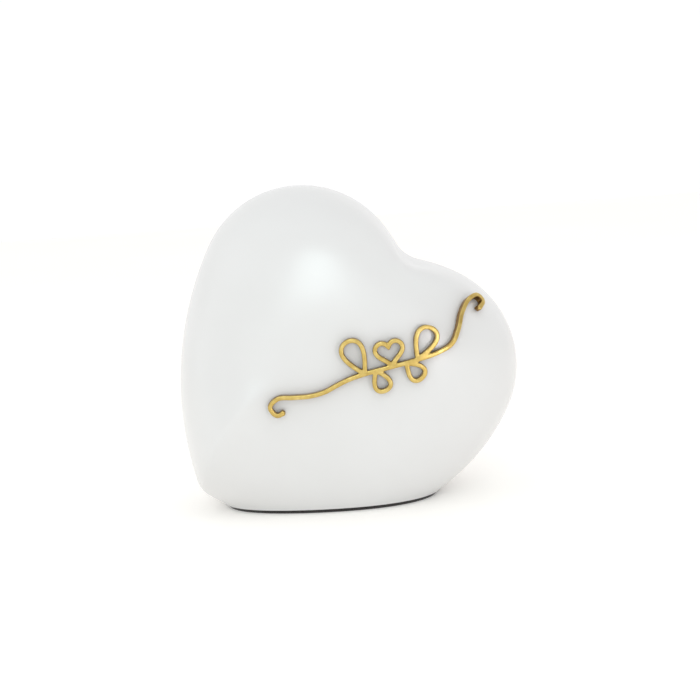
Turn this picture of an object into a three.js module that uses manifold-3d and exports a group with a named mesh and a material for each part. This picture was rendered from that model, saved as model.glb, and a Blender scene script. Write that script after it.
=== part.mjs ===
// A resin heart ornament: a hollow, puffed heart that leans over and stands on a flat cut,
// with a wire flourish pinned across its front and a threaded plug in its base.
// Millimetres and degrees. +Z is up, the front with the flourish faces -Y, and the origin is
// the middle of the bottom of the whole object's box.

import * as THREE from 'three';
import { mergeVertices } from 'three/addons/utils/BufferGeometryUtils.js';
import Module from 'manifold-3d';

// Heart outline, seen square on and before it leans: on each side a cleft arc, a lobe arc,
// a flank arc and a tip arc, each one tangent to the next.
const LOBE_RADIUS = 53.6;
const LOBE_SPREAD = 36; // lobe centre to the heart's own axis
const CLEFT_RADIUS = 12;
const TIP_RADIUS = 14.8;
const TIP_DROP = 104.2; // tip centre below the line of the lobe centres
const TIP_SHIFT = -13.9; // tip centre to the left of the heart's own axis
const LEFT_FLANK_RADIUS = 172.7;
const RIGHT_FLANK_RADIUS = 108.5;

// Puffed front and back, which mirror each other.
const HALF_DEPTH = 51;
const BULGE_DROP = 14.9; // middle of the bulge below the line of the lobe centres
const RIM_FULLNESS = 0.57; // 1 is an ellipse's shoulder, lower is squarer
const DEPTH_FULLNESS = 0.9;
const CROWN_ROUNDING = 0.9; // how far the sections turn from a heart to a circle at the crown
const CROWN_RADIUS = 85.8; // that circle, at the scale of the rim
const KEEL_BOW = 19.5; // how far the ridge up from the tip bows to the left
const KEEL_SPREAD = 0.9; // half-angle over which the bow fades, in radians
const CREASE = 9; // how far the ridge stands up as a soft edge
const CREASE_SPREAD = 0.27; // half-angle over which the edge fades, in radians
const CREASE_GAIN = 9.5; // makes the edge's profile 1 where it is highest
const CREASE_SOFTNESS = 0.02; // rounds the edge itself at the rim, and more towards the crown, in radians
const CROWN_SHARE = 0.1; // within this share of the rim's size the rounding no longer grows

// Stance
const LEAN = 38.8;
const BULGE_HEIGHT = 77.7; // middle of the bulge above the heart's flat cut

// Shell and base
const WALL = 6;
const FLOOR = 7;
const GAP = 0.3; // glue line or air between neighbouring pieces
const FELT = 1.5;
const FELT_INSET = 1;
const FELT_HOLE_RADIUS = 21;
const PLUG_X = -12; // plug's axis, left of the middle of the bulge and under the footprint's middle

// Threaded ring let into the floor, its plug and the plug's seal
const RING_FLANGE_RADIUS = 24;
const RING_FLANGE = 2;
const RING_SLEEVE_RADIUS = 20.5;
const RING_HEIGHT = 10.5;
const RING_BORE_RADIUS = 15.3;
const RECESS_RADIUS = 18.4;
const RECESS_DEPTH = 4.3;
const PLUG_HEAD_RADIUS = 18;
const PLUG_HEAD = 3;
const PLUG_SHANK_RADIUS = 14.9;
const PLUG_SHANK = 8.5;
const PLUG_CUP_RADIUS = 12.4;
const PLUG_CUP_DEPTH = 7;
const SLOT_LENGTH = 24;
const SLOT_WIDTH = 2.6;
const SLOT_DEPTH = 1.6;
const SEAL_THICKNESS = 1;
const SEAL_INNER_RADIUS = 15.3;
const SEAL_OUTER_RADIUS = 17.8;

// Flourish: a strip on edge that follows the front, and the pins behind it
const STRIP_WIDTH = 2.3;
const STRIP_DEPTH = 3.6;
const STRIP_CHAMFER = 0.7;
const STRIP_STANDOFF = 0.5;
const STRIP_STEP = 3; // length of one straight piece of the strip
const PIN_RADIUS = 0.8;
const PIN_LENGTH = 4.4;
const PIN_PROUD = 0.15; // pin end in front of the heart's surface
const PIN_HOLE_RADIUS = 1.1;

// Flourish's routes, as (x, z) seen from the front, with z from the middle of the bulge
const STEM = [
  [-28.4, -20.8], [-32.8, -22.2], [-35.8, -17.8], [-31.6, -14], [-24.1, -14], [-15.9, -13.9],
  [-8.5, -12.4], [-1.7, -9.3], [5, -6.6], [12.5, -4.6], [24.4, -2.2], [37, 0.2], [48, 3],
  [54.6, 6.4], [57.9, 12.6], [60.2, 20.2], [63.6, 25], [68, 25.9], [70.8, 22.6], [68.2, 20],
];
const LEAVES = [
  { x: 12, z: -4.7, heading: 115, length: 18, width: 8 },
  { x: 38, z: 0.7, heading: 64, length: 16, width: 7.5 },
  { x: 17.5, z: -3.3, heading: -68, length: 11, width: 6 },
  { x: 32.5, z: -0.8, heading: -48, length: 10.5, width: 6 },
];
const LEAF_FULLNESS = 0.65;
const LEAF_POINTS = 12;
const SMALL_HEART = { x: 25.6, z: -2, heading: 98, size: 13.5 };
const SMALL_HEART_POINTS = 24;
const PINS = {
  left: { x: -24.1, z: -14 },
  middle: { x: 24.4, z: -2.2 },
  right: { x: 57.9, z: 12.6 },
};
const SLOPE_REACH = 2.5; // half the width of the patch over which the front's slope is taken

// Facets
const ROUND_SEGMENTS = 48;
const PIN_SEGMENTS = 10;
const OUTER_FACETS = { cleft: 3, lobe: 20, flank: 8, tip: 4, through: 34 };
const INNER_FACETS = { cleft: 2, lobe: 12, flank: 5, tip: 3, through: 22 };

const UNDERSIDE = FELT + GAP; // height of the heart's flat cut above the table
const FLOOR_TOP = UNDERSIDE + FLOOR;
const BIG = 400; // larger than the object, for cutting boxes
const WELD = 1e-4; // corners nearer than this are one corner

const wasm = await Module();
wasm.setup();

// Joining and cutting

function toSolid(geometry) {
  const bare = geometry.clone();
  bare.deleteAttribute('normal');
  bare.deleteAttribute('uv');
  const merged = mergeVertices(bare, WELD);
  return new wasm.Manifold(new wasm.Mesh({
    numProp: 3,
    vertProperties: new Float32Array(merged.attributes.position.array),
    triVerts: new Uint32Array(merged.index.array),
  }));
}

function toGeometry(solid) {
  const mesh = solid.getMesh();
  const geometry = new THREE.BufferGeometry();
  geometry.setAttribute('position', new THREE.BufferAttribute(mesh.vertProperties, mesh.numProp));
  geometry.setIndex(new THREE.BufferAttribute(mesh.triVerts, 1));
  geometry.computeVertexNormals();
  return geometry;
}

function upright(geometry) {
  return geometry.rotateX(Math.PI / 2);
}

function slab(bottom, top) {
  return toSolid(new THREE.BoxGeometry(BIG, BIG, top - bottom).translate(0, 0, (bottom + top) / 2));
}

function disc(radius, bottom, top, x) {
  const drum = upright(new THREE.CylinderGeometry(radius, radius, top - bottom, ROUND_SEGMENTS));
  return toSolid(drum.translate(x, 0, (bottom + top) / 2));
}

// Heart

function angleTo(from, to) {
  return Math.atan2(to.y - from.y, to.x - from.x);
}

// Centre of the large circle that the lobe arc and the tip arc both touch from inside.
function flankCentre(lobe, tip, flankRadius) {
  const span = lobe.distanceTo(tip);
  const lobeReach = flankRadius - LOBE_RADIUS;
  const tipReach = flankRadius - TIP_RADIUS;
  const along = (lobeReach ** 2 - tipReach ** 2 + span ** 2) / (2 * span);
  const across = Math.sqrt(lobeReach ** 2 - along ** 2);
  const direction = tip.clone().sub(lobe).divideScalar(span);
  const inward = new THREE.Vector2(direction.y, -direction.x);
  return lobe.clone().addScaledVector(direction, along).addScaledVector(inward, across);
}

// One side of the outline, from the bottom of the cleft to the tip, on the +x side.
function sideOutline(tipShift, flankRadius, inset, facets) {
  const lobe = new THREE.Vector2(LOBE_SPREAD, 0);
  const tip = new THREE.Vector2(tipShift, -TIP_DROP);
  const cleft = new THREE.Vector2(0, Math.sqrt((LOBE_RADIUS + CLEFT_RADIUS) ** 2 - LOBE_SPREAD ** 2));
  const flank = flankCentre(lobe, tip, flankRadius);
  const turn = angleTo(flank, lobe);
  const foot = angleTo(flank, tip);
  const end = Math.atan2(-TIP_DROP, tipShift);
  const arc = (centre, radius, start, stop, clockwise) => (
    new THREE.EllipseCurve(centre.x, centre.y, radius, radius, start, stop, clockwise)
  );
  const stretches = [
    arc(cleft, CLEFT_RADIUS + inset, -Math.PI / 2, angleTo(cleft, lobe), false).getPoints(facets.cleft),
    arc(lobe, LOBE_RADIUS - inset, angleTo(lobe, cleft), turn, true).getPoints(facets.lobe),
    arc(flank, flankRadius - inset, turn, foot, true).getPoints(facets.flank),
    arc(tip, TIP_RADIUS - inset, foot, end, true).getPoints(facets.tip),
  ];
  return stretches.flatMap((points, i) => (i === 0 ? points : points.slice(1)));
}

// The whole outline, clockwise from the cleft, around the middle of the bulge.
function heartOutline(inset, facets) {
  const right = sideOutline(TIP_SHIFT, RIGHT_FLANK_RADIUS, inset, facets);
  const left = sideOutline(-TIP_SHIFT, LEFT_FLANK_RADIUS, inset, facets);
  const mirrored = left.map((point) => new THREE.Vector2(-point.x, point.y)).reverse();
  const rim = [...right, ...mirrored.slice(1, -1)];
  return rim.map((point) => point.add(new THREE.Vector2(0, BULGE_DROP)));
}

function headingFromTop(point) {
  return Math.atan2(point.x, point.y);
}

// Where a rim point goes at a latitude from -90 degrees, the front crown, to +90, the back crown.
function puff(rimPoint, tipHeading, inset, latitude) {
  const shrink = Math.max(Math.cos(latitude), 0) ** RIM_FULLNESS;
  const rounding = CROWN_ROUNDING * Math.sin(latitude) ** 2;
  const heading = headingFromTop(rimPoint);
  const round = new THREE.Vector2(Math.sin(heading), Math.cos(heading));
  round.multiplyScalar(CROWN_RADIUS - inset);
  const section = rimPoint.clone().lerp(round, rounding).multiplyScalar(shrink);
  const fromTip = Math.abs(heading - tipHeading);
  const awayFromTip = Math.min(fromTip, 2 * Math.PI - fromTip);
  const midway = 4 * shrink * (1 - shrink); // 0 at the rim and at the crown, 1 half-way
  const bow = KEEL_BOW * midway * Math.exp(-((awayFromTip / KEEL_SPREAD) ** 2));
  const ridge = CREASE_GAIN * shrink ** 3 * (1 - shrink); // 0 at the crown and at the rim
  const softness = CREASE_SOFTNESS / Math.max(shrink, CROWN_SHARE) ** 2;
  const crease = CREASE * ridge * Math.exp(-Math.hypot(awayFromTip, softness) / CREASE_SPREAD);
  section.addScaledVector(round.normalize(), crease * Math.cos(latitude));
  const dome = (HALF_DEPTH - inset) * Math.abs(Math.sin(latitude)) ** DEPTH_FULLNESS;
  const depth = Math.sign(latitude) * (dome + crease * Math.abs(Math.sin(latitude)));
  return new THREE.Vector3(section.x - bow, depth, section.y);
}

// The closed puffed heart, before the base is cut, leaning and at its height above the table.
function heartGeometry(inset, facets) {
  const rim = heartOutline(inset, facets);
  const tipHeading = headingFromTop(rim[rim.length / 2]);
  const geometry = new THREE.SphereGeometry(1, rim.length, facets.through);
  const { position } = geometry.attributes;
  const columns = rim.length + 1; // the first column is repeated to close the sphere
  for (let i = 0; i < position.count; i++) {
    const rimPoint = rim[(i % columns) % rim.length];
    const latitude = Math.PI * (0.5 - Math.floor(i / columns) / facets.through);
    const point = puff(rimPoint, tipHeading, inset, latitude);
    position.setXYZ(i, point.x, point.y, point.z);
  }
  geometry.rotateY(THREE.MathUtils.degToRad(LEAN));
  return geometry.translate(0, 0, UNDERSIDE + BULGE_HEIGHT);
}

const frontSkin = new THREE.Mesh(heartGeometry(0, OUTER_FACETS));

// Front of the heart

// The point of the front surface straight behind (x, z), where z is from the middle of the bulge.
function onFront(x, z) {
  const start = new THREE.Vector3(x, -BIG, z + UNDERSIDE + BULGE_HEIGHT);
  const [hit] = new THREE.Raycaster(start, new THREE.Vector3(0, 1, 0)).intersectObject(frontSkin);
  return hit.point;
}

// The outward direction there, taken over a patch wide enough to smooth out the facets.
function outwardAt(x, z) {
  const across = onFront(x + SLOPE_REACH, z).sub(onFront(x - SLOPE_REACH, z));
  const upward = onFront(x, z + SLOPE_REACH).sub(onFront(x, z - SLOPE_REACH));
  return across.cross(upward).normalize();
}

// Shell

function pinHole(x, z) {
  const mouth = onFront(x, z);
  const depth = PIN_LENGTH + GAP;
  const drill = new THREE.CylinderGeometry(PIN_HOLE_RADIUS, PIN_HOLE_RADIUS, BIG, PIN_SEGMENTS);
  const bottom = mouth.y - PIN_PROUD + depth;
  return toSolid(drill.translate(mouth.x, bottom - BIG / 2, mouth.z));
}

function heartBody() {
  const ringSeat = disc(RING_FLANGE_RADIUS + GAP, 0, UNDERSIDE + RING_FLANGE + 2 * GAP, PLUG_X);
  const ringHole = disc(RING_SLEEVE_RADIUS + GAP, 0, FLOOR_TOP + WALL, PLUG_X);
  const cavity = toSolid(heartGeometry(WALL, INNER_FACETS)).subtract(slab(-BIG, FLOOR_TOP));
  let body = toSolid(heartGeometry(0, OUTER_FACETS))
    .subtract(slab(-BIG, UNDERSIDE))
    .subtract(cavity)
    .subtract(ringHole)
    .subtract(ringSeat);
  for (const { x, z } of Object.values(PINS)) {
    body = body.subtract(pinHole(x, z));
  }
  return toGeometry(body);
}

function baseFelt() {
  const footprint = toSolid(heartGeometry(FELT_INSET, OUTER_FACETS)).intersect(slab(0, FELT));
  return toGeometry(footprint.subtract(disc(FELT_HOLE_RADIUS, -FELT, 2 * FELT, PLUG_X)));
}

// Plug and its seat, turned about the plug's axis

function turned(profile) {
  const points = profile.map(([radius, height]) => new THREE.Vector2(radius, height));
  return upright(new THREE.LatheGeometry(points, ROUND_SEGMENTS)).translate(PLUG_X, 0, 0);
}

const RING_BOTTOM = UNDERSIDE + GAP;
const LEDGE = RING_BOTTOM + RECESS_DEPTH;
const SEAL_BOTTOM = LEDGE - GAP - SEAL_THICKNESS;
const HEAD_TOP = SEAL_BOTTOM - GAP;
const HEAD_BOTTOM = HEAD_TOP - PLUG_HEAD;
const SHANK_TOP = HEAD_TOP + PLUG_SHANK;

function plugRing() {
  const flangeTop = RING_BOTTOM + RING_FLANGE;
  const top = RING_BOTTOM + RING_HEIGHT;
  return turned([
    [RECESS_RADIUS, RING_BOTTOM],
    [RING_FLANGE_RADIUS, RING_BOTTOM],
    [RING_FLANGE_RADIUS, flangeTop],
    [RING_SLEEVE_RADIUS, flangeTop],
    [RING_SLEEVE_RADIUS, top],
    [RING_BORE_RADIUS, top],
    [RING_BORE_RADIUS, LEDGE],
    [RECESS_RADIUS, LEDGE],
    [RECESS_RADIUS, RING_BOTTOM],
  ]);
}

function plugSeal() {
  return turned([
    [SEAL_INNER_RADIUS, SEAL_BOTTOM],
    [SEAL_OUTER_RADIUS, SEAL_BOTTOM],
    [SEAL_OUTER_RADIUS, SEAL_BOTTOM + SEAL_THICKNESS],
    [SEAL_INNER_RADIUS, SEAL_BOTTOM + SEAL_THICKNESS],
    [SEAL_INNER_RADIUS, SEAL_BOTTOM],
  ]);
}

function basePlug() {
  const turnedPlug = toSolid(turned([
    [0, HEAD_BOTTOM],
    [PLUG_HEAD_RADIUS, HEAD_BOTTOM],
    [PLUG_HEAD_RADIUS, HEAD_TOP],
    [PLUG_SHANK_RADIUS, HEAD_TOP],
    [PLUG_SHANK_RADIUS, SHANK_TOP],
    [PLUG_CUP_RADIUS, SHANK_TOP],
    [PLUG_CUP_RADIUS, SHANK_TOP - PLUG_CUP_DEPTH],
    [0, SHANK_TOP - PLUG_CUP_DEPTH],
  ]));
  const slot = new THREE.BoxGeometry(SLOT_LENGTH, SLOT_WIDTH, 2 * SLOT_DEPTH);
  return toGeometry(turnedPlug.subtract(toSolid(slot.translate(PLUG_X, 0, HEAD_BOTTOM))));
}

// Flourish

// A smooth line that stands off the front, whose frames turn with the front's own slope.
class DrapedLine extends THREE.CatmullRomCurve3 {
  constructor(route) {
    const standoff = STRIP_STANDOFF + STRIP_DEPTH / 2;
    super(route.map(([x, z]) => onFront(x, z).addScaledVector(outwardAt(x, z), standoff)));
    this.foot = new THREE.CatmullRomCurve3(route.map(([x, z]) => new THREE.Vector3(x, 0, z)));
  }

  computeFrenetFrames(segments) {
    const frames = { tangents: [], normals: [], binormals: [] };
    for (let i = 0; i <= segments; i++) {
      const tangent = this.getTangentAt(i / segments);
      const foot = this.foot.getPoint(this.getUtoTmapping(i / segments));
      const outward = outwardAt(foot.x, foot.z);
      const binormal = tangent.clone().cross(outward).normalize();
      frames.tangents.push(tangent);
      frames.binormals.push(binormal);
      frames.normals.push(binormal.clone().cross(tangent));
    }
    return frames;
  }
}

// The strip's section: its depth along x and its width along y, with chamfered corners.
function stripSection() {
  const x = STRIP_DEPTH / 2;
  const y = STRIP_WIDTH / 2;
  const c = STRIP_CHAMFER;
  const corners = [
    [x, c - y], [x, y - c], [x - c, y], [c - x, y],
    [-x, y - c], [-x, c - y], [c - x, -y], [x - c, -y],
  ];
  return new THREE.Shape(corners.map(([px, py]) => new THREE.Vector2(px, py)));
}

function strip(route) {
  const line = new DrapedLine(route);
  const steps = Math.round(line.getLength() / STRIP_STEP);
  return toSolid(new THREE.ExtrudeGeometry(stripSection(), { steps, extrudePath: line }));
}

// A closed leaf that leaves its root along a heading (0 is +x, 90 is up) and comes back to it.
function leafRoute({ x, z, heading, length, width }) {
  const turn = THREE.MathUtils.degToRad(heading);
  return Array.from({ length: LEAF_POINTS + 1 }, (_, i) => {
    const share = i / LEAF_POINTS;
    const along = length * Math.sin(Math.PI * share);
    const across = LEAF_FULLNESS * width * Math.sin(2 * Math.PI * share);
    return [
      x + along * Math.cos(turn) - across * Math.sin(turn),
      z + along * Math.sin(turn) + across * Math.cos(turn),
    ];
  });
}

// A small heart with its tip at its root: the usual heart curve, which is 32 units across.
function smallHeartRoute({ x, z, heading, size }) {
  const unit = size / 32;
  const turn = THREE.MathUtils.degToRad(heading - 90);
  return Array.from({ length: SMALL_HEART_POINTS + 1 }, (_, i) => {
    const t = Math.PI - (2 * Math.PI * i) / SMALL_HEART_POINTS;
    const across = unit * 16 * Math.sin(t) ** 3;
    const lobes = 13 * Math.cos(t) - 5 * Math.cos(2 * t) - 2 * Math.cos(3 * t) - Math.cos(4 * t);
    const along = unit * (17 + lobes);
    return [
      x + across * Math.cos(turn) - along * Math.sin(turn),
      z + across * Math.sin(turn) + along * Math.cos(turn),
    ];
  });
}

function wireScroll() {
  let scroll = strip(STEM);
  for (const leaf of LEAVES) {
    scroll = scroll.add(strip(leafRoute(leaf)));
  }
  return toGeometry(scroll.add(strip(smallHeartRoute(SMALL_HEART))));
}

function scrollPin({ x, z }) {
  const mouth = onFront(x, z);
  const pin = new THREE.CylinderGeometry(PIN_RADIUS, PIN_RADIUS, PIN_LENGTH, PIN_SEGMENTS);
  return pin.translate(mouth.x, mouth.y - PIN_PROUD + PIN_LENGTH / 2, mouth.z);
}

// Materials

function paint(color, roughness, metalness) {
  return new THREE.MeshStandardMaterial({ color, roughness, metalness });
}

const pearlLacquer = paint(0xf0f0ee, 0.35, 0);
const charcoalFelt = paint(0x2b2828, 0.95, 0);
const brass = paint(0xb08d45, 0.35, 0.9);
const blackPlastic = paint(0x202022, 0.45, 0);
const blackRubber = paint(0x141414, 0.8, 0);
const gildedMetal = paint(0xd2ad4e, 0.35, 0.9);

// Assembly

const ornament = new THREE.Group();

function place(name, geometry, material) {
  const piece = new THREE.Mesh(geometry, material);
  piece.name = name;
  ornament.add(piece);
}

place('heart_body', heartBody(), pearlLacquer);
place('base_felt', baseFelt(), charcoalFelt);
place('plug_ring', plugRing(), brass);
place('plug_seal', plugSeal(), blackRubber);
place('base_plug', basePlug(), blackPlastic);
place('wire_scroll', wireScroll(), gildedMetal);
for (const [side, spot] of Object.entries(PINS)) {
  place(`scroll_pin_${side}`, scrollPin(spot), brass);
}

// Bring the middle of the box's underside to the origin.
const box = new THREE.Box3().setFromObject(ornament);
const middle = box.getCenter(new THREE.Vector3());
ornament.position.set(-middle.x, -middle.y, -box.min.z);

export default ornament;
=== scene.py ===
# A puffed resin heart on a felted base, with a gilded wire flourish across its front.
# Lengths in the formulas are millimetres, as in the CAD model; MM turns them into metres.

import math

import bmesh
import bpy
import numpy as np
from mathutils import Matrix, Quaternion, Vector, noise
from mathutils.bvhtree import BVHTree


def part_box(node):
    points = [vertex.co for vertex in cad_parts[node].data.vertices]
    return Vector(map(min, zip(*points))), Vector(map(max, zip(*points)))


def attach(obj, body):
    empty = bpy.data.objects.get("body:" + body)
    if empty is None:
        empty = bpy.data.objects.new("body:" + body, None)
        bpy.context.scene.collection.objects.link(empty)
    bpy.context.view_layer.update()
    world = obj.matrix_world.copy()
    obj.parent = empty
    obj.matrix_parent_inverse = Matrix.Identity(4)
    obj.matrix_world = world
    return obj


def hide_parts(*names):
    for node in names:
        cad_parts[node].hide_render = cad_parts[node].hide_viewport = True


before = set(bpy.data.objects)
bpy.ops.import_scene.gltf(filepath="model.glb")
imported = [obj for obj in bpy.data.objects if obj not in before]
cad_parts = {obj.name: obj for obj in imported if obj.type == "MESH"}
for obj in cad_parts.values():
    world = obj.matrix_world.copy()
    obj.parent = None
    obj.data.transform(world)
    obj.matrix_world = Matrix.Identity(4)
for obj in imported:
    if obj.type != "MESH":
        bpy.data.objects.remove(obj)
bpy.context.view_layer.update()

MM = 0.001

# Heart, as the CAD model has it
LOBE_RADIUS = 53.6
LOBE_SPREAD = 36.0
CLEFT_RADIUS = 12.0
TIP_RADIUS = 14.8
TIP_DROP = 104.2
TIP_SHIFT = -13.9
LEFT_FLANK_RADIUS = 172.7
RIGHT_FLANK_RADIUS = 108.5
HALF_DEPTH = 51.0
BULGE_DROP = 14.9
RIM_FULLNESS = 0.57
DEPTH_FULLNESS = 0.9
CROWN_ROUNDING = 0.9
CROWN_RADIUS = 85.8
KEEL_BOW = 19.5
KEEL_SPREAD = 0.9
CREASE = 9.0
CREASE_SPREAD = 0.27
CREASE_GAIN = 9.5  # makes the ridge's profile 1 where it is highest
CREASE_SOFTNESS = 0.02
CROWN_SHARE = 0.1  # within this share of the rim's size the rounding no longer grows
LEAN = math.radians(38.8)
BULGE_HEIGHT = 77.7
WALL = 6.0
FLOOR = 7.0
GAP = 0.3
EDGE_RADIUS = 0.9  # rounding of the edge round the flat cut
EDGE_STEPS = 5
EDGE_REACH = 1.3  # how much further the rounding runs inward than up
SEAT_DEPTH = 2.6  # seat of the ring's flange
HOLE_RADIUS = 20.8  # hole in the floor for the ring's sleeve
FELT_HOLE_RADIUS = 21.0

# Facets of the fine heart
SIDE_STEPS = {"cleft": 10, "lobe": 84, "flank": 40, "tip": 20}
ROWS = 190
POLE_CROWDING = 1.4

# Plug, ring and seal
PITCH = 3.0
THREAD_DEPTH = 0.7
THREAD_RUN_IN = 0.8  # height over which the thread starts and ends
FACETS = 192
RING_BORE = 15.3
RING_RECESS = 18.4
RECESS_DEPTH = 4.3
RING_FLANGE = 2
RING_SLEEVE = 20.5
PLUG_OFFSET = 12.0  # the plug sits this far left of the middle of the bulge
PLUG_HEAD = 3.0
PLUG_SHANK = 14.9
PLUG_CUP = 12.4
PLUG_CUP_DEPTH = 7
SLOT_LENGTH = 24.0
SLOT_WIDTH = 2.6
SLOT_DEPTH = 1.6
SEAL_BORE = 15.3

# Flourish
STRIP_WIDTH = 2.3
STRIP_DEPTH = 3.6
STRIP_ROUNDING = 0.55
STRIP_STANDOFF = 0.5
STRIP_STEP = 0.7
CASTING_VOXEL = 0.26
STEM = [
    (-28.4, -20.8), (-32.8, -22.2), (-35.8, -17.8), (-31.6, -14), (-24.1, -14), (-15.9, -13.9),
    (-8.5, -12.4), (-1.7, -9.3), (5, -6.6), (12.5, -4.6), (24.4, -2.2), (37, 0.2), (48, 3),
    (54.6, 6.4), (57.9, 12.6), (60.2, 20.2), (63.6, 25), (68, 25.9), (70.8, 22.6), (68.2, 20),
]
LEAVES = [
    {"root": (12, -4.7), "heading": 115, "length": 18, "width": 8},
    {"root": (38, 0.7), "heading": 64, "length": 16, "width": 7.5},
    {"root": (17.5, -3.3), "heading": -68, "length": 11, "width": 6},
    {"root": (32.5, -0.8), "heading": -48, "length": 10.5, "width": 6},
]
LEAF_FULLNESS = 0.65
SMALL_HEART = {"root": (25.6, -2), "heading": 98, "size": 13.5}

ring_low, ring_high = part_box("plug_ring")
PLUG_X = (ring_low.x + ring_high.x) / 2 / MM
MIDDLE_Y = (ring_low.y + ring_high.y) / 2 / MM
MIDDLE_X = PLUG_X + PLUG_OFFSET
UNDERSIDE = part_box("heart_body")[0].z / MM
BULGE_Z = UNDERSIDE + BULGE_HEIGHT
FLOOR_TOP = UNDERSIDE + FLOOR
FELT_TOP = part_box("base_felt")[1].z / MM


# Meshes

def add_object(name, vertices, faces, smooth=True):
    mesh = bpy.data.meshes.new(name)
    mesh.from_pydata([tuple(v) for v in np.asarray(vertices) * MM], [], faces)
    mesh.validate()
    mesh.update()
    mesh.polygons.foreach_set("use_smooth", [smooth] * len(mesh.polygons))
    obj = bpy.data.objects.new(name, mesh)
    bpy.context.scene.collection.objects.link(obj)
    return obj


def grid_faces(rows, columns, wrap_rows=False, wrap_columns=True):
    faces = []
    for r in range(rows if wrap_rows else rows - 1):
        for c in range(columns if wrap_columns else columns - 1):
            a, b = r * columns + c, r * columns + (c + 1) % columns
            d, e = ((r + 1) % rows) * columns + c, ((r + 1) % rows) * columns + (c + 1) % columns
            faces.append((a, b, e, d))
    return faces


def apply_modifiers(obj):
    depsgraph = bpy.context.evaluated_depsgraph_get()
    mesh = bpy.data.meshes.new_from_object(obj.evaluated_get(depsgraph))
    old = obj.data
    obj.modifiers.clear()
    obj.data = mesh
    bpy.data.meshes.remove(old)
    return obj


def face_outward(obj):
    bm = bmesh.new()
    bm.from_mesh(obj.data)
    bmesh.ops.recalc_face_normals(bm, faces=bm.faces)
    bm.to_mesh(obj.data)
    bm.free()
    return obj


def shade_by_angle(obj, degrees):
    obj.data.set_sharp_from_angle(angle=math.radians(degrees))


# Heart formula

def arc(centre, radius, start, stop, steps):
    a = np.linspace(start, stop, steps + 1)
    return np.stack([centre[0] + radius * np.cos(a), centre[1] + radius * np.sin(a)], 1)


def heading(start, end):
    return math.atan2(end[1] - start[1], end[0] - start[0])


def side_outline(tip_shift, flank_radius, inset, steps):
    lobe = np.array([LOBE_SPREAD, 0.0])
    tip = np.array([tip_shift, -TIP_DROP])
    cleft = np.array([0.0, math.sqrt((LOBE_RADIUS + CLEFT_RADIUS) ** 2 - LOBE_SPREAD ** 2)])
    span = np.linalg.norm(tip - lobe)
    lobe_reach = flank_radius - LOBE_RADIUS
    tip_reach = flank_radius - TIP_RADIUS
    along = (lobe_reach ** 2 - tip_reach ** 2 + span ** 2) / (2 * span)
    across = math.sqrt(lobe_reach ** 2 - along ** 2)
    direction = (tip - lobe) / span
    flank = lobe + direction * along + np.array([direction[1], -direction[0]]) * across
    turn, foot = heading(flank, lobe), heading(flank, tip)
    end = math.atan2(-TIP_DROP, tip_shift)
    stretches = [
        arc(cleft, CLEFT_RADIUS + inset, -math.pi / 2, heading(cleft, lobe), steps["cleft"]),
        arc(lobe, LOBE_RADIUS - inset, heading(lobe, cleft), turn, steps["lobe"]),
        arc(flank, flank_radius - inset, turn, foot, steps["flank"]),
        arc(tip, TIP_RADIUS - inset, foot, end, steps["tip"]),
    ]
    return np.concatenate([s if i == 0 else s[1:] for i, s in enumerate(stretches)])


def heart_grid(inset):
    """Points of the closed puffed heart, one row for each latitude from the back crown to the front."""
    right = side_outline(TIP_SHIFT, RIGHT_FLANK_RADIUS, inset, SIDE_STEPS)
    left = side_outline(-TIP_SHIFT, LEFT_FLANK_RADIUS, inset, SIDE_STEPS) * [-1, 1]
    rim = np.concatenate([right, left[::-1][1:-1]]) + [0, BULGE_DROP]
    turn = np.arctan2(rim[:, 0], rim[:, 1])
    s = np.linspace(1, -1, ROWS + 1)
    latitude = np.sign(s) * (math.pi / 2) * (1 - (1 - np.abs(s)) ** POLE_CROWDING)
    shrink = np.maximum(np.cos(latitude), 0) ** RIM_FULLNESS
    shrink[[0, -1]] = 0
    rounding = CROWN_ROUNDING * np.sin(latitude)[:, None, None] ** 2
    outward = np.stack([np.sin(turn), np.cos(turn)], 1)
    circle = outward * (CROWN_RADIUS - inset)
    section = shrink[:, None, None] * ((1 - rounding) * rim[None] + rounding * circle[None])
    from_tip = np.abs(turn - turn[len(right) - 1])
    away = np.minimum(from_tip, 2 * math.pi - from_tip)
    midway = 4 * shrink * (1 - shrink)
    section[..., 0] -= KEEL_BOW * midway[:, None] * np.exp(-(away / KEEL_SPREAD) ** 2)[None]
    ridge = CREASE_GAIN * shrink ** 3 * (1 - shrink)
    softness = CREASE_SOFTNESS / np.maximum(shrink, CROWN_SHARE) ** 2
    edge = np.exp(-np.hypot(away[None], softness[:, None]) / CREASE_SPREAD)
    crease = CREASE * ridge[:, None] * edge
    section += outward[None] * (crease * np.cos(latitude)[:, None])[..., None]
    dome = (HALF_DEPTH - inset) * np.abs(np.sin(latitude)) ** DEPTH_FULLNESS
    lift = crease * np.abs(np.sin(latitude))[:, None]
    depth = np.sign(latitude)[:, None] * (dome[:, None] + lift)
    c, s = math.cos(LEAN), math.sin(LEAN)
    x = c * section[..., 0] + s * section[..., 1] + MIDDLE_X
    z = -s * section[..., 0] + c * section[..., 1] + BULGE_Z
    y = depth + MIDDLE_Y
    return np.stack([x, y, z], -1)


def heart_skin(inset):
    """(vertices, faces) of the closed puffed heart, with one vertex at each crown."""
    points = heart_grid(inset)
    rows, columns = points.shape[:2]
    vertices = [points[0, 0], *points[1:-1].reshape(-1, 3), points[-1, 0]]
    faces = [tuple(1 + i for i in face) for face in grid_faces(rows - 2, columns)]
    last = len(vertices) - 1
    base = last - columns
    faces += [(0, 1 + (c + 1) % columns, 1 + c) for c in range(columns)]
    faces += [(last, base + c, base + (c + 1) % columns) for c in range(columns)]
    return np.array(vertices), faces


# Heart body

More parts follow.
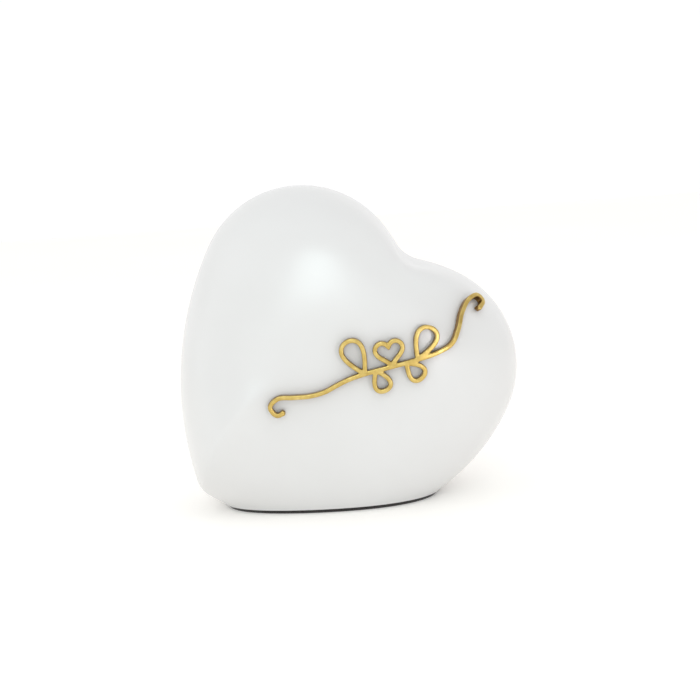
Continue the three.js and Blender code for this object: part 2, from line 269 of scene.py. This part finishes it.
def ordered_loop(bm, height):
    """The vertices of the open edge at that height, in order round it."""
    edge = next(e for e in bm.edges if e.is_boundary and abs(e.verts[0].co.z - height) < 1e-6)
    loop = [edge.verts[0]]
    previous = edge
    current = edge.verts[1]
    while current is not loop[0]:
        loop.append(current)
        previous = next(e for e in current.link_edges if e.is_boundary and e is not previous)
        current = previous.other_vert(current)
    return loop


def cut_skin(inset, height):
    bm = bmesh.new()
    vertices, faces = heart_skin(inset)
    made = [bm.verts.new(v * MM) for v in vertices]
    for face in faces:
        bm.faces.new([made[i] for i in face])
    everything = bm.verts[:] + bm.edges[:] + bm.faces[:]
    bmesh.ops.bisect_plane(
        bm, geom=everything, dist=1e-7, plane_co=(0, 0, height * MM), plane_no=(0, 0, 1),
        clear_inner=True,
    )
    return bm


def add_ring(bm, loop, points):
    made = [bm.verts.new(p) for p in points]
    count = len(loop)
    for i in range(count):
        bm.faces.new([loop[i], loop[(i + 1) % count], made[(i + 1) % count], made[i]])
    return made


def inward_normals(points):
    """Unit inward normals in plan of a closed loop of points, smoothed a little along it."""
    plan = np.array([(p[0], p[1]) for p in points])
    tangent = np.roll(plan, -2, 0) - np.roll(plan, 2, 0)
    normal = np.stack([-tangent[:, 1], tangent[:, 0]], 1)
    normal /= np.linalg.norm(normal, axis=1, keepdims=True)
    if (normal * (plan.mean(0) - plan)).sum() < 0:
        normal = -normal
    return normal


def make_heart():
    bm = cut_skin(0.0, UNDERSIDE + EDGE_RADIUS)
    loop = ordered_loop(bm, (UNDERSIDE + EDGE_RADIUS) * MM)
    start = np.array([tuple(v.co) for v in loop]) / MM
    inward = inward_normals(start)
    for step in range(1, EDGE_STEPS + 1):
        a = step / EDGE_STEPS * math.pi / 2
        ring = start.copy()
        ring[:, :2] += inward * EDGE_RADIUS * EDGE_REACH * (1 - math.cos(a))
        ring[:, 2] -= EDGE_RADIUS * math.sin(a)
        loop = add_ring(bm, loop, ring * MM)
    centre = np.array([PLUG_X, MIDDLE_Y])
    away = start[:, :2] - centre
    away /= np.linalg.norm(away, axis=1, keepdims=True)
    seat_radius = (ring_high.x - ring_low.x) / 2 / MM + GAP
    seat_top = UNDERSIDE + SEAT_DEPTH
    for radius, z in (
        (seat_radius, UNDERSIDE), (seat_radius, seat_top), (HOLE_RADIUS, seat_top),
        (HOLE_RADIUS, FLOOR_TOP),
    ):
        ring = np.column_stack([centre + away * radius, np.full(len(away), z)])
        loop = add_ring(bm, loop, ring * MM)
    inner = cut_skin(WALL, FLOOR_TOP)
    cavity = bpy.data.meshes.new("cavity")
    inner.to_mesh(cavity)
    inner.free()
    bm.from_mesh(cavity)
    bpy.data.meshes.remove(cavity)
    # Joins the hole's edge to the cavity's. Some of these faces run across the hole, inside the heart.
    bmesh.ops.bridge_loops(bm, edges=[e for e in bm.edges if e.is_boundary])
    bmesh.ops.recalc_face_normals(bm, faces=bm.faces)
    mesh = bpy.data.meshes.new("heart_shell")
    bm.to_mesh(mesh)
    bm.free()
    mesh.polygons.foreach_set("use_smooth", [True] * len(mesh.polygons))
    obj = bpy.data.objects.new("heart_shell", mesh)
    bpy.context.scene.collection.objects.link(obj)
    shade_by_angle(obj, 40)
    return obj


# Felt

def footprint():
    bm = cut_skin(0.0, UNDERSIDE)
    loop = ordered_loop(bm, UNDERSIDE * MM)
    points = np.array([tuple(v.co) for v in loop]) / MM
    bm.free()
    closed = np.vstack([points, points[:1]])
    length = np.concatenate([[0], np.cumsum(np.linalg.norm(np.diff(closed, axis=0), axis=1))])
    count = 640
    s = np.linspace(0, length[-1], count, endpoint=False)
    return np.stack([np.interp(s, length, closed[:, k]) for k in range(2)], 1)


def make_felt():
    outline = footprint()
    inward = inward_normals(outline)
    centre = np.array([PLUG_X, MIDDLE_Y])
    away = outline - centre
    away /= np.linalg.norm(away, axis=1, keepdims=True)
    rows = []
    rounding = 0.35
    profile = [(1.4, FELT_TOP), (1.05, FELT_TOP - 0.1), (0.95, FELT_TOP - 0.4), (0.95, rounding)]
    profile += [
        (0.95 + rounding * (1 - math.cos(a)), rounding * (1 - math.sin(a)))
        for a in np.linspace(0.4, math.pi / 2, 4)
    ]
    for k, (inset, z) in enumerate(profile):
        fuzz = [
            0.16 * noise.noise(Vector((p[0] * 1.7, p[1] * 1.7, z * 2.3))) if 0 < k < 6 else 0.0
            for p in outline
        ]
        flat = outline + inward * (inset + np.array(fuzz)[:, None])
        rows.append(np.column_stack([flat, np.full(len(outline), z)]))
    for share in (0.33, 0.66):
        hole = centre + away * FELT_HOLE_RADIUS
        flat = rows[7][:, :2] * (1 - share) + hole * share
        sag = [
            max(0.0, 0.06 * noise.noise(Vector((p[0] * 0.4, p[1] * 0.4, 3.0)))) for p in flat
        ]
        rows.append(np.column_stack([flat, sag]))
    for z in (0.15, 0.5, FELT_TOP - 0.15, FELT_TOP):
        radius = 21.25 if z in (0.15, FELT_TOP) else FELT_HOLE_RADIUS
        rows.append(np.column_stack([centre + away * radius, np.full(len(away), z)]))
    points = np.array(rows).reshape(-1, 3)
    obj = add_object("felt_pad", points, grid_faces(len(rows), len(outline), wrap_rows=True))
    face_outward(obj)
    shade_by_angle(obj, 50)
    return obj


# Turned parts

def turned(name, profile, thread=None):
    """A ring or a capped solid from (radius, height) points, with a thread where thread says so."""
    angles = np.linspace(0, 2 * math.pi, FACETS, endpoint=False)
    rows = []
    for radius, z in profile:
        r = np.full(FACETS, radius)
        if thread and thread["low"] <= z <= thread["high"] and abs(radius - thread["radius"]) < 1e-6:
            phase = (z / PITCH - angles / (2 * math.pi)) % 1
            ridge = np.clip(1.5 - 5 * np.abs(phase - 0.5), 0, 1)
            ease = min(1.0, (z - thread["low"]) / THREAD_RUN_IN, (thread["high"] - z) / THREAD_RUN_IN)
            r = r + THREAD_DEPTH * ridge * max(ease, 0)
        x, y = PLUG_X + r * np.cos(angles), MIDDLE_Y + r * np.sin(angles)
        rows.append(np.stack([x, y, np.full(FACETS, z)], 1))
    points = np.array(rows)
    closed = profile[0][0] > 0 and profile[-1][0] > 0
    if closed:
        obj = add_object(name, points.reshape(-1, 3), grid_faces(len(rows), FACETS, wrap_rows=True))
    else:
        inner = points[1:-1].reshape(-1, 3)
        vertices = [points[0].mean(0), *inner, points[-1].mean(0)]
        faces = [tuple(1 + i for i in f) for f in grid_faces(len(rows) - 2, FACETS)]
        last = len(vertices) - 1
        faces += [(0, 1 + (c + 1) % FACETS, 1 + c) for c in range(FACETS)]
        faces += [(last, last - FACETS + c, last - FACETS + (c + 1) % FACETS) for c in range(FACETS)]
        obj = add_object(name, vertices, faces)
    return face_outward(obj)


def rounded_corner(corner, before, after, radius, steps=4):
    """Points of a small fillet at a corner of a profile, between its neighbours."""
    corner, before, after = (np.array(p, float) for p in (corner, before, after))
    u = (before - corner) / np.linalg.norm(before - corner)
    v = (after - corner) / np.linalg.norm(after - corner)
    start, end = corner + u * radius, corner + v * radius
    return [
        tuple((1 - t) ** 2 * start + 2 * t * (1 - t) * corner + t ** 2 * end)
        for t in np.linspace(0, 1, steps + 1)
    ]


def soften(corners, radius, closed=True):
    points = []
    count = len(corners)
    for i, corner in enumerate(corners):
        if not closed and i in (0, count - 1):
            points.append(corner)
        else:
            points += rounded_corner(corner, corners[i - 1], corners[(i + 1) % count], radius)
    return points


def dense_wall(points, radius, low, high, step=0.2):
    """Adds rows to the wall of a profile at that radius, so that a thread can be cut in it."""
    out = []
    for a, b in zip(points, points[1:] + points[:1]):
        out.append(a)
        if abs(a[0] - radius) < 1e-6 and abs(b[0] - radius) < 1e-6 and abs(a[1] - b[1]) > 1:
            count = int(abs(a[1] - b[1]) / step)
            out += [(radius, a[1] + (b[1] - a[1]) * k / count) for k in range(1, count)]
    return out


def box_of(node):
    low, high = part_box(node)
    return (high.x - low.x) / 2 / MM, low.z / MM, high.z / MM


def make_ring():
    flange_radius, low, high = box_of("plug_ring")
    ledge = low + RECESS_DEPTH
    flange_top = low + RING_FLANGE
    corners = [
        (RING_RECESS, low), (flange_radius, low), (flange_radius, flange_top),
        (RING_SLEEVE, flange_top), (RING_SLEEVE, high), (RING_BORE, high), (RING_BORE, ledge),
        (RING_RECESS, ledge),
    ]
    points = dense_wall(soften(corners, 0.25), RING_BORE, ledge, high)
    return turned("threaded_ring", points, {"low": ledge, "high": high, "radius": RING_BORE})


def make_seal():
    outer, low, high = box_of("plug_seal")
    corners = [(SEAL_BORE, low), (outer, low), (outer, high), (SEAL_BORE, high)]
    return turned("rubber_seal", soften(corners, 0.4))


def make_plug():
    head, low, high = box_of("base_plug")
    head_top = low + PLUG_HEAD
    cup_floor = high - PLUG_CUP_DEPTH
    corners = [
        (0, low), (6.6, low), (7.0, low + 0.35), (7.8, low + 0.35), (8.2, low), (head, low),
        (head, head_top), (PLUG_SHANK, head_top), (PLUG_SHANK, high), (PLUG_CUP, high),
        (PLUG_CUP, cup_floor), (0, cup_floor),
    ]
    points = dense_wall(soften(corners, 0.25, closed=False), PLUG_SHANK, head_top, high)
    thread = {"low": head_top + 0.8, "high": high - 0.4, "radius": PLUG_SHANK}
    plug = turned("screw_plug", points, thread)
    cutter = make_slot_cutter(low)
    boolean = plug.modifiers.new("slot", "BOOLEAN")
    boolean.operation = "DIFFERENCE"
    boolean.solver = "EXACT"
    boolean.object = cutter
    apply_modifiers(plug)
    bpy.data.objects.remove(cutter)
    shade_by_angle(plug, 35)
    return plug


def make_slot_cutter(low):
    outline = []
    for side in (1, -1):
        for a in np.linspace(-math.pi / 2, math.pi / 2, 9):
            reach = (SLOT_LENGTH - SLOT_WIDTH) / 2
            x = side * (reach + SLOT_WIDTH / 2 * math.cos(a))
            outline.append((x, side * SLOT_WIDTH / 2 * math.sin(a)))
    rows = [
        [(PLUG_X + s * x, MIDDLE_Y + s * y, z) for x, y in outline]
        for s, z in ((1.0, low - 1), (1.0, low + SLOT_DEPTH))
    ]
    count = len(outline)
    points = [p for row in rows for p in row]
    faces = grid_faces(2, count)
    faces += [tuple(range(count)), tuple(range(2 * count - 1, count - 1, -1))]
    return face_outward(add_object("slot_cutter", points, faces, smooth=False))


# Flourish

def leaf_route(leaf, points=20):
    x, z = leaf["root"]
    turn = math.radians(leaf["heading"])
    route = []
    for i in range(points + 1):
        share = i / points
        along = leaf["length"] * math.sin(math.pi * share)
        across = LEAF_FULLNESS * leaf["width"] * math.sin(2 * math.pi * share)
        route.append((
            x + along * math.cos(turn) - across * math.sin(turn),
            z + along * math.sin(turn) + across * math.cos(turn),
        ))
    return route


def small_heart_route(points=40):
    x, z = SMALL_HEART["root"]
    size = SMALL_HEART["size"]
    turn = math.radians(SMALL_HEART["heading"] - 90)
    route = []
    for i in range(points + 1):
        t = math.pi - 2 * math.pi * i / points
        across = size / 2 * math.sin(t) ** 3
        along = size / 32 * (
            17 + 13 * math.cos(t) - 5 * math.cos(2 * t) - 2 * math.cos(3 * t) - math.cos(4 * t)
        )
        route.append((
            x + across * math.cos(turn) - along * math.sin(turn),
            z + across * math.sin(turn) + along * math.cos(turn),
        ))
    return route


def smooth_route(route, per_span=14):
    """A centripetal Catmull-Rom curve through the route's points."""
    p = np.array(route, float)
    p = np.vstack([2 * p[0] - p[1], p, 2 * p[-1] - p[-2]])
    out = []
    for k in range(1, len(p) - 2):
        q = p[k - 1:k + 3]
        t = np.concatenate([[0], np.cumsum(np.linalg.norm(np.diff(q, axis=0), axis=1) ** 0.5)])
        for u in np.linspace(t[1], t[2], per_span, endpoint=False):
            a = [((t[i + 1] - u) * q[i] + (u - t[i]) * q[i + 1]) / (t[i + 1] - t[i]) for i in range(3)]
            b = [((t[i + 2] - u) * a[i] + (u - t[i]) * a[i + 1]) / (t[i + 2] - t[i]) for i in range(2)]
            out.append(((t[2] - u) * b[0] + (u - t[1]) * b[1]) / (t[2] - t[1]))
    out.append(p[-2])
    return np.array(out)


def front_tree():
    vertices, faces = heart_skin(0.0)
    return BVHTree.FromPolygons([Vector(v) for v in vertices], faces)


def drape(tree, x, z):
    """(point, outward normal) of the heart's front at (x, z), measured from the middle of the bulge."""
    start = Vector((MIDDLE_X + x, -400, BULGE_Z + z))
    point, normal, _, _ = tree.ray_cast(start, Vector((0, 1, 0)))
    if normal.y > 0:
        normal = -normal
    return np.array(point), np.array(normal)


def strip_section():
    """The strip's section, depth along the first axis, with round edges."""
    corners = [
        (STRIP_DEPTH / 2, STRIP_WIDTH / 2), (-STRIP_DEPTH / 2, STRIP_WIDTH / 2),
        (-STRIP_DEPTH / 2, -STRIP_WIDTH / 2), (STRIP_DEPTH / 2, -STRIP_WIDTH / 2),
    ]
    return np.array(soften(corners, STRIP_ROUNDING))


def sweep_strip(tree, name, route, swell=0.0):
    plan = smooth_route(route)
    hits = [drape(tree, x, z) for x, z in plan]
    feet = np.array([h[0] for h in hits])
    outward = np.array([h[1] for h in hits])
    length = np.concatenate([[0], np.cumsum(np.linalg.norm(np.diff(feet, axis=0), axis=1))])
    count = int(length[-1] / STRIP_STEP)
    s = np.linspace(0, length[-1], count)
    feet = np.stack([np.interp(s, length, feet[:, k]) for k in range(3)], 1)
    outward = np.stack([np.interp(s, length, outward[:, k]) for k in range(3)], 1)
    for _ in range(12):
        outward[1:-1] = (outward[:-2] + 2 * outward[1:-1] + outward[2:]) / 4
    outward /= np.linalg.norm(outward, axis=1, keepdims=True)
    line = feet + outward * (STRIP_STANDOFF + STRIP_DEPTH / 2)
    tangent = np.gradient(line, axis=0)
    tangent /= np.linalg.norm(tangent, axis=1, keepdims=True)
    side = np.cross(tangent, outward)
    side /= np.linalg.norm(side, axis=1, keepdims=True)
    up = np.cross(side, tangent)
    section = strip_section()
    rows = []
    for i in range(count):
        to_end = min(s[i], s[-1] - s[i])
        round_end = math.sqrt(max(0.04, 1 - max(0.0, 1 - to_end / (STRIP_WIDTH / 2)) ** 2))
        bead = 1 + swell * math.exp(-(to_end / 2.2) ** 2)
        scale = round_end * bead
        rows.append(line[i] + up[i] * section[:, :1] * (0.25 + 0.75 * round_end)
                    + side[i] * section[:, 1:] * scale)
    rows = np.array(rows)
    columns = len(section)
    faces = grid_faces(count, columns)
    faces += [tuple(range(columns)), tuple(range(count * columns - 1, (count - 1) * columns - 1, -1))]
    return face_outward(add_object(name, rows.reshape(-1, 3), faces))


def join(objects, name):
    bm = bmesh.new()
    for obj in objects:
        bm.from_mesh(obj.data)
        bpy.data.objects.remove(obj)
    mesh = bpy.data.meshes.new(name)
    bm.to_mesh(mesh)
    bm.free()
    joined = bpy.data.objects.new(name, mesh)
    bpy.context.scene.collection.objects.link(joined)
    return joined


def make_flourish():
    tree = front_tree()
    pieces = [sweep_strip(tree, "stem", STEM, swell=0.25)]
    pieces += [sweep_strip(tree, f"leaf_{i}", leaf_route(leaf)) for i, leaf in enumerate(LEAVES)]
    pieces.append(sweep_strip(tree, "small_heart", small_heart_route()))
    flourish = join(pieces, "gilded_flourish")
    remesh = flourish.modifiers.new("casting", "REMESH")
    remesh.mode = "VOXEL"
    remesh.voxel_size = CASTING_VOXEL * MM
    smooth = flourish.modifiers.new("fettling", "SMOOTH")
    smooth.factor = 0.5
    smooth.iterations = 3
    apply_modifiers(flourish)
    flourish.data.polygons.foreach_set("use_smooth", [True] * len(flourish.data.polygons))
    mark_sides(flourish.data, tree)
    return flourish


def mark_sides(mesh, tree):
    """Stores how far each vertex is down the strip's sides: 0 on the face, 1 on a wall or the back. The
    gilding paints shade where it is high.
    """
    values = []
    for vertex in mesh.vertices:
        point, normal, _, _ = tree.find_nearest(vertex.co / MM)
        if normal.y > 0:
            normal = -normal
        height = (vertex.co / MM - point).dot(normal) - STRIP_STANDOFF
        # The value also rises towards the strip's foot next to the heart, so the painted shade gathers there
        # too.
        values.append(min(1.0, max(1 - vertex.normal.dot(normal), 1 - height / STRIP_DEPTH)))
    side = mesh.attributes.new("side", "FLOAT", "POINT")
    side.data.foreach_set("value", values)


# Materials

class Nodes:
    """A new node material with a Principled shader, and short ways to add nodes to it."""

    def __init__(self, name):
        self.material = bpy.data.materials.new(name)
        self.material.use_nodes = True
        self.tree = self.material.node_tree
        self.shader = self.tree.nodes["Principled BSDF"]
        self.place = self.tree.nodes.new("ShaderNodeTexCoord").outputs["Object"]

    def set(self, **values):
        for key, value in values.items():
            self.shader.inputs[key.replace("_", " ")].default_value = value

    def link(self, output, name):
        self.tree.links.new(output, self.shader.inputs[name])

    def noise(self, scale, detail=4.0, roughness=0.5, stretch=None):
        node = self.tree.nodes.new("ShaderNodeTexNoise")
        node.inputs["Scale"].default_value = scale
        node.inputs["Detail"].default_value = detail
        node.inputs["Roughness"].default_value = roughness
        source = self.place
        if stretch:
            mapping = self.tree.nodes.new("ShaderNodeMapping")
            mapping.inputs["Scale"].default_value = stretch
            self.tree.links.new(source, mapping.inputs["Vector"])
            source = mapping.outputs["Vector"]
        self.tree.links.new(source, node.inputs["Vector"])
        return node.outputs["Fac"]

    def ramp(self, factor, stops):
        node = self.tree.nodes.new("ShaderNodeValToRGB")
        elements = node.color_ramp.elements
        while len(elements) < len(stops):
            elements.new(0.5)
        for element, (position, colour) in zip(elements, stops):
            element.position = position
            element.color = (*colour, 1.0)
        self.tree.links.new(factor, node.inputs["Fac"])
        return node.outputs["Color"]

    def range(self, value, low, high, start=0.35, stop=0.65):
        node = self.tree.nodes.new("ShaderNodeMapRange")
        node.inputs["From Min"].default_value = start
        node.inputs["From Max"].default_value = stop
        node.inputs["To Min"].default_value = low
        node.inputs["To Max"].default_value = high
        self.tree.links.new(value, node.inputs["Value"])
        return node.outputs["Result"]

    def attribute(self, name):
        node = self.tree.nodes.new("ShaderNodeAttribute")
        node.attribute_name = name
        return node.outputs["Fac"]

    def mix(self, factor, first, second):
        node = self.tree.nodes.new("ShaderNodeMix")
        node.data_type = "RGBA"
        colours = [socket for socket in node.inputs if socket.type == "RGBA"]
        self.tree.links.new(factor, node.inputs["Factor"])
        self.tree.links.new(first, colours[0])
        self.tree.links.new(second, colours[1])
        return next(socket for socket in node.outputs if socket.type == "RGBA")

    def bump(self, heights):
        """Stacks bumps: heights is a list of (height, strength, distance in mm)."""
        normal = None
        for height, strength, distance in heights:
            node = self.tree.nodes.new("ShaderNodeBump")
            node.inputs["Strength"].default_value = strength
            node.inputs["Distance"].default_value = distance * MM
            self.tree.links.new(height, node.inputs["Height"])
            if normal:
                self.tree.links.new(normal, node.inputs["Normal"])
            normal = node.outputs["Normal"]
        self.link(normal, "Normal")


def pearl_lacquer():
    m = Nodes("pearl_lacquer")
    m.set(Coat_Weight=0.7, Coat_Roughness=0.24, Specular_IOR_Level=0.6, IOR=1.5)
    cloud = m.noise(14.0, 3.0, 0.55)
    m.link(m.ramp(cloud, [(0.3, (0.655, 0.652, 0.648)), (0.7, (0.682, 0.681, 0.678))]), "Base Color")
    m.link(m.range(m.noise(60.0, 3.0), 0.31, 0.37), "Roughness")
    peel = m.noise(420.0, 2.0)
    flake = m.noise(2600.0, 1.0)
    m.bump([(peel, 0.06, 0.05), (flake, 0.04, 0.02)])
    return m.material


def gilding():
    m = Nodes("gilding")
    m.set(Metallic=0.9, Specular_IOR_Level=0.5)
    gold = m.ramp(
        m.noise(240.0, 5.0, 0.6),
        [(0.3, (0.47, 0.32, 0.085)), (0.55, (0.60, 0.44, 0.14)), (0.8, (0.72, 0.57, 0.24))],
    )
    # Painted shade: a dark brown put on the strip's walls, back and foot, mixed in where the side mask is
    # high.
    painted_shade_brown = m.ramp(m.noise(420.0, 4.0, 0.6), [(0.3, (0.20, 0.10, 0.035)), (0.7, (0.34, 0.20, 0.07))])
    side = m.attribute("side")
    m.link(m.mix(m.range(side, 0.0, 0.9, 0.3, 0.85), gold, painted_shade_brown), "Base Color")
    m.link(m.range(m.noise(500.0, 4.0), 0.3, 0.42), "Roughness")
    m.bump([(m.noise(900.0, 3.0), 0.12, 0.06), (m.noise(180.0, 2.0), 0.2, 0.15)])
    return m.material


def felt():
    m = Nodes("felt")
    m.set(Specular_IOR_Level=0.15, Sheen_Weight=0.35, Sheen_Roughness=0.6, Roughness=0.95)
    fibre = m.noise(1500.0, 5.0, 0.7)
    m.link(m.ramp(fibre, [(0.3, (0.012, 0.010, 0.010)), (0.7, (0.055, 0.048, 0.046))]), "Base Color")
    m.bump([(fibre, 0.8, 0.2), (m.noise(260.0, 3.0), 0.5, 0.3)])
    return m.material


def turned_brass(name):
    m = Nodes(name)
    m.set(Metallic=1.0)
    tone = m.noise(120.0, 4.0, 0.6)
    m.link(m.ramp(tone, [(0.3, (0.52, 0.36, 0.13)), (0.7, (0.66, 0.49, 0.21))]), "Base Color")
    m.link(m.range(m.noise(300.0, 3.0, stretch=(1, 1, 14)), 0.22, 0.4), "Roughness")
    m.bump([(m.noise(500.0, 2.0, stretch=(1, 1, 20)), 0.15, 0.03)])
    return m.material


def moulded_black():
    m = Nodes("moulded_black")
    m.set(Specular_IOR_Level=0.4)
    tone = m.noise(90.0, 3.0)
    m.link(m.ramp(tone, [(0.3, (0.014, 0.014, 0.016)), (0.7, (0.026, 0.026, 0.029))]), "Base Color")
    m.link(m.range(m.noise(700.0, 3.0), 0.42, 0.56), "Roughness")
    m.bump([(m.noise(1400.0, 2.0), 0.25, 0.04)])
    return m.material


def seal_rubber():
    m = Nodes("seal_rubber")
    m.set(Specular_IOR_Level=0.3)
    tone = m.noise(200.0, 3.0)
    m.link(m.ramp(tone, [(0.3, (0.008, 0.008, 0.008)), (0.7, (0.018, 0.017, 0.017))]), "Base Color")
    m.link(m.range(m.noise(900.0, 3.0), 0.7, 0.9), "Roughness")
    m.bump([(m.noise(1100.0, 3.0), 0.3, 0.05)])
    return m.material


def floor_white():
    m = Nodes("floor_white")
    m.set(Specular_IOR_Level=0.1, Roughness=0.9, Emission_Color=(1.0, 1.0, 1.0, 1.0), Emission_Strength=0.14)
    m.link(m.ramp(m.noise(3.0, 2.0), [(0.3, (0.92, 0.90, 0.87)), (0.7, (0.94, 0.92, 0.89))]), "Base Color")
    return m.material


def paint(obj, material):
    obj.data.materials.clear()
    obj.data.materials.append(material)


# Pieces

def build_pieces():
    heart = make_heart()
    paint(heart, pearl_lacquer())
    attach(heart, "root")
    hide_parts("heart_body")

    pad = make_felt()
    paint(pad, felt())
    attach(pad, "root")
    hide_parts("base_felt")

    ring = make_ring()
    shade_by_angle(ring, 35)
    paint(ring, turned_brass("ring_brass"))
    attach(ring, "root")
    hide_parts("plug_ring")

    seal = make_seal()
    paint(seal, seal_rubber())
    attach(seal, "seal")
    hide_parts("plug_seal")

    plug = make_plug()
    paint(plug, moulded_black())
    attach(plug, "plug")
    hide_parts("base_plug")

    flourish = make_flourish()
    paint(flourish, gilding())
    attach(flourish, "root")
    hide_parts("wire_scroll")

    pin_brass = turned_brass("pin_brass")
    for side in ("left", "middle", "right"):
        paint(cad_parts[f"scroll_pin_{side}"], pin_brass)


# Stage

FLOOR_GAP = 0.05  # keeps the table top clear of the felt's own face
STUDIO_BRIGHT = 1.02
STUDIO_DIM = 0.47
STUDIO_BRIGHT_SIDE = (-0.15, 0.75, 0.6)


def make_floor():
    reach = 3000.0
    steps = 24
    s = np.linspace(-reach, reach, steps + 1)
    points = [(x, y, -FLOOR_GAP) for y in s for x in s]
    faces = grid_faces(steps + 1, steps + 1, wrap_columns=False)
    floor = add_object("floor", points, faces, smooth=False)
    paint(floor, floor_white())


def direction(azimuth, elevation):
    """Unit vector from the object towards a camera or light at those angles, in degrees."""
    a, e = math.radians(azimuth), math.radians(elevation)
    return Vector((math.sin(a) * math.cos(e), -math.cos(a) * math.cos(e), math.sin(e)))


def soft_light(name, azimuth, elevation, distance, width, height, power, colour, mirrored=True):
    light = bpy.data.lights.new(name, "AREA")
    light.shape = "RECTANGLE"
    light.size = width
    light.size_y = height
    light.energy = power
    light.color = colour
    obj = bpy.data.objects.new(name, light)
    bpy.context.scene.collection.objects.link(obj)
    centre = Vector((MIDDLE_X, MIDDLE_Y, BULGE_Z)) * MM
    towards = direction(azimuth, elevation)
    obj.location = centre + towards * distance
    obj.rotation_euler = towards.to_track_quat("Z", "Y").to_euler()
    obj.visible_glossy = mirrored


def make_world():
    """A studio that is white behind and above the object and greyer behind the camera."""
    world = bpy.data.worlds.new("studio")
    world.use_nodes = True
    tree = world.node_tree
    place = tree.nodes.new("ShaderNodeTexCoord").outputs["Generated"]
    toward = tree.nodes.new("ShaderNodeVectorMath")
    toward.operation = "DOT_PRODUCT"
    toward.inputs[1].default_value = STUDIO_BRIGHT_SIDE
    tree.links.new(place, toward.inputs[0])
    fade = tree.nodes.new("ShaderNodeMapRange")
    fade.interpolation_type = "SMOOTHSTEP"
    fade.inputs["From Min"].default_value = -0.9
    fade.inputs["From Max"].default_value = 0.5
    fade.inputs["To Min"].default_value = STUDIO_DIM
    fade.inputs["To Max"].default_value = STUDIO_BRIGHT
    tree.links.new(toward.outputs["Value"], fade.inputs["Value"])
    background = tree.nodes["Background"]
    background.inputs["Color"].default_value = (1.0, 1.0, 1.0, 1.0)
    tree.links.new(fade.outputs["Result"], background.inputs["Strength"])
    bpy.context.scene.world = world


def make_camera():
    azimuth, elevation, roll = 2.05, 8.73, 4.24
    distance = 0.682
    frame_width = 0.371  # width seen at the middle of the heart
    aim_right, aim_up = 0.0038, -0.0004
    towards = direction(azimuth, elevation)
    data = bpy.data.cameras.new("camera")
    data.sensor_width = 36.0
    data.lens = data.sensor_width * distance / frame_width
    data.clip_end = 20.0
    camera = bpy.data.objects.new("camera", data)
    bpy.context.scene.collection.objects.link(camera)
    turn = towards.to_track_quat("Z", "Y") @ Quaternion((0, 0, 1), -math.radians(roll))
    aim = turn @ Vector((aim_right, aim_up, 0))
    camera.location = Vector((MIDDLE_X, MIDDLE_Y, BULGE_Z)) * MM + aim + towards * distance
    camera.rotation_euler = turn.to_euler()
    bpy.context.scene.camera = camera


def build_stage():
    make_camera()
    make_floor()
    make_world()
    soft_light("key", -6, 20, 1.5, 0.3, 0.85, 3.7, (0.84, 1.0, 1.0))
    soft_light("left", -78, 12, 1.6, 0.9, 1.2, 3.3, (1.0, 1.0, 1.0), mirrored=False)
    soft_light("top", 35, 48, 1.6, 1.2, 1.2, 2.6, (1.0, 1.0, 1.0), mirrored=False)
    soft_light("fill", 28.6, -4, 1.5, 0.16, 0.16, 6.5, (1.0, 0.95, 1.0))
    bpy.context.scene.view_settings.view_transform = "Standard"


build_stage()
build_pieces()
